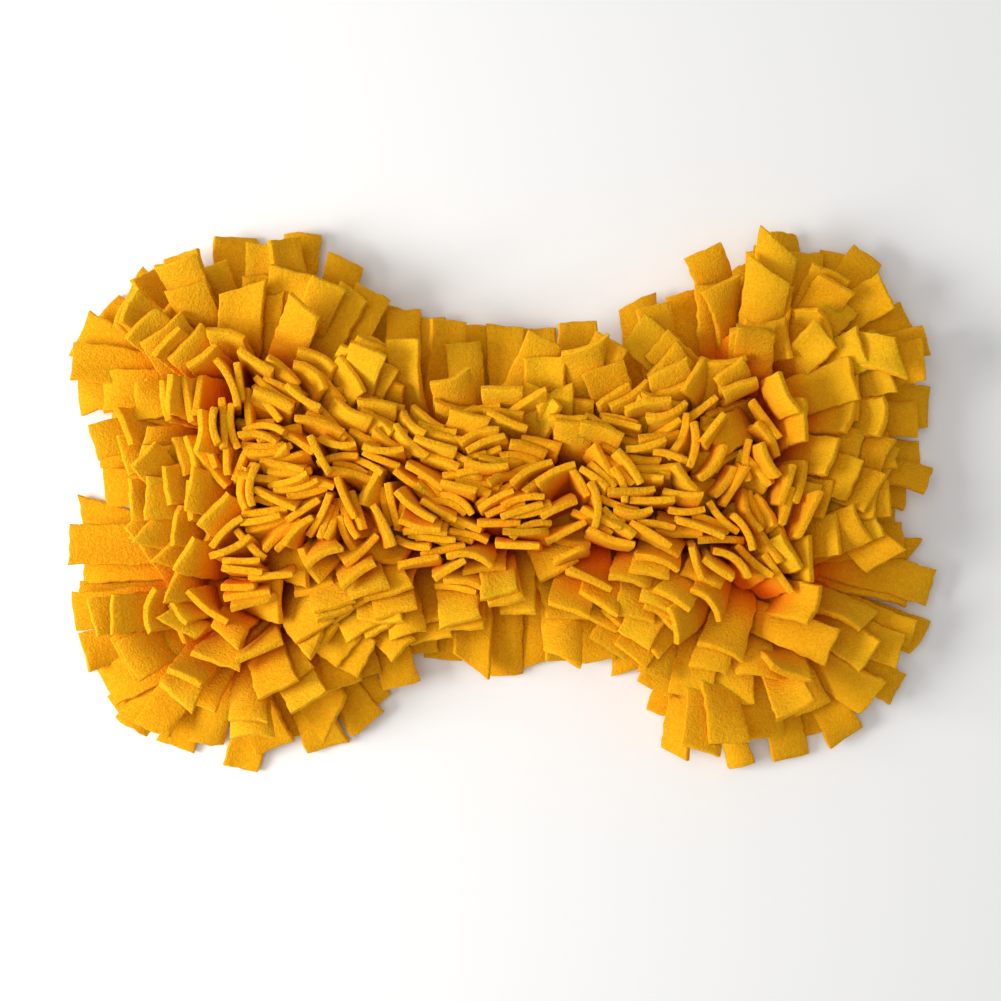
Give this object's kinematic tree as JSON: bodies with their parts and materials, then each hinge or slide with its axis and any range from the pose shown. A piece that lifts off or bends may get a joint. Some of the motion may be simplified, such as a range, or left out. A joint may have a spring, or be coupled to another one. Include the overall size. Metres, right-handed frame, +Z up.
{
  "type": "snuffle mat",
  "caption": "Bone-shaped snuffle mat: a flat felt backing with a dense pile of fleece strips knotted through it, upright in the middle and fanned out over the edge.",
  "frame": {"origin": "middle of the backing's underside, on the surface that the mat lies on", "axes": "+X along the bone's length, +Y across it, +Z up out of the surface"},
  "size_m": [0.4272, 0.2693, 0.0648],
  "materials": {
    "felt": "matte charcoal felt",
    "fleece": "matte golden yellow polar fleece"
  },
  "bodies": {
    "root": {"felt_backing": "felt", "fleece_pile": "fleece"}
  },
  "joints": []
}
